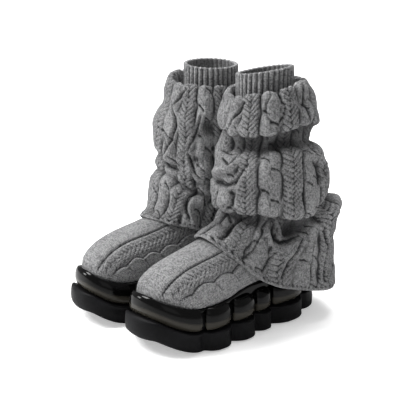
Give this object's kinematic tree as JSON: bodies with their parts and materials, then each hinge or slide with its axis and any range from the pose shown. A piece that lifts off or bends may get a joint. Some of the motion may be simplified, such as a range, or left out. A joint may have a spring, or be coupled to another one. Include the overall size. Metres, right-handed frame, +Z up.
{
  "type": "pair of loose socks on platform soles",
  "caption": "Pair of slouched cable-knit loose socks with ribbed cuffs, the uppers of boots on lobed platform soles with glossy pods.",
  "frame": {"origin": "middle of the pair's box, on the floor that the soles stand on", "axes": "+Z up, -Y towards the toes, +X towards the left shoe"},
  "size_m": [0.2898, 0.327, 0.3415],
  "materials": {
    "knit": "mid-grey heather yarn, cable knit",
    "rubber": "matt black",
    "gloss": "glossy smoky black"
  },
  "bodies": {
    "root": {"cuff_left": "knit", "leg_left": "knit", "foot_left": "knit", "rand_left": "gloss", "sole_core_left": "rubber", "outsole_left": "rubber", "toe_pod_left": "gloss", "heel_pod_left": "gloss", "pod_outer_1_left": "gloss", "pod_outer_2_left": "gloss", "pod_outer_3_left": "gloss", "pod_outer_4_left": "gloss", "pod_inner_1_left": "gloss", "pod_inner_2_left": "gloss", "pod_inner_3_left": "gloss", "pod_inner_4_left": "gloss", "cuff_right": "knit", "leg_right": "knit", "foot_right": "knit", "rand_right": "gloss", "sole_core_right": "rubber", "outsole_right": "rubber", "toe_pod_right": "gloss", "heel_pod_right": "gloss", "pod_outer_1_right": "gloss", "pod_outer_2_right": "gloss", "pod_outer_3_right": "gloss", "pod_outer_4_right": "gloss", "pod_inner_1_right": "gloss", "pod_inner_2_right": "gloss", "pod_inner_3_right": "gloss", "pod_inner_4_right": "gloss"}
  },
  "joints": []
}
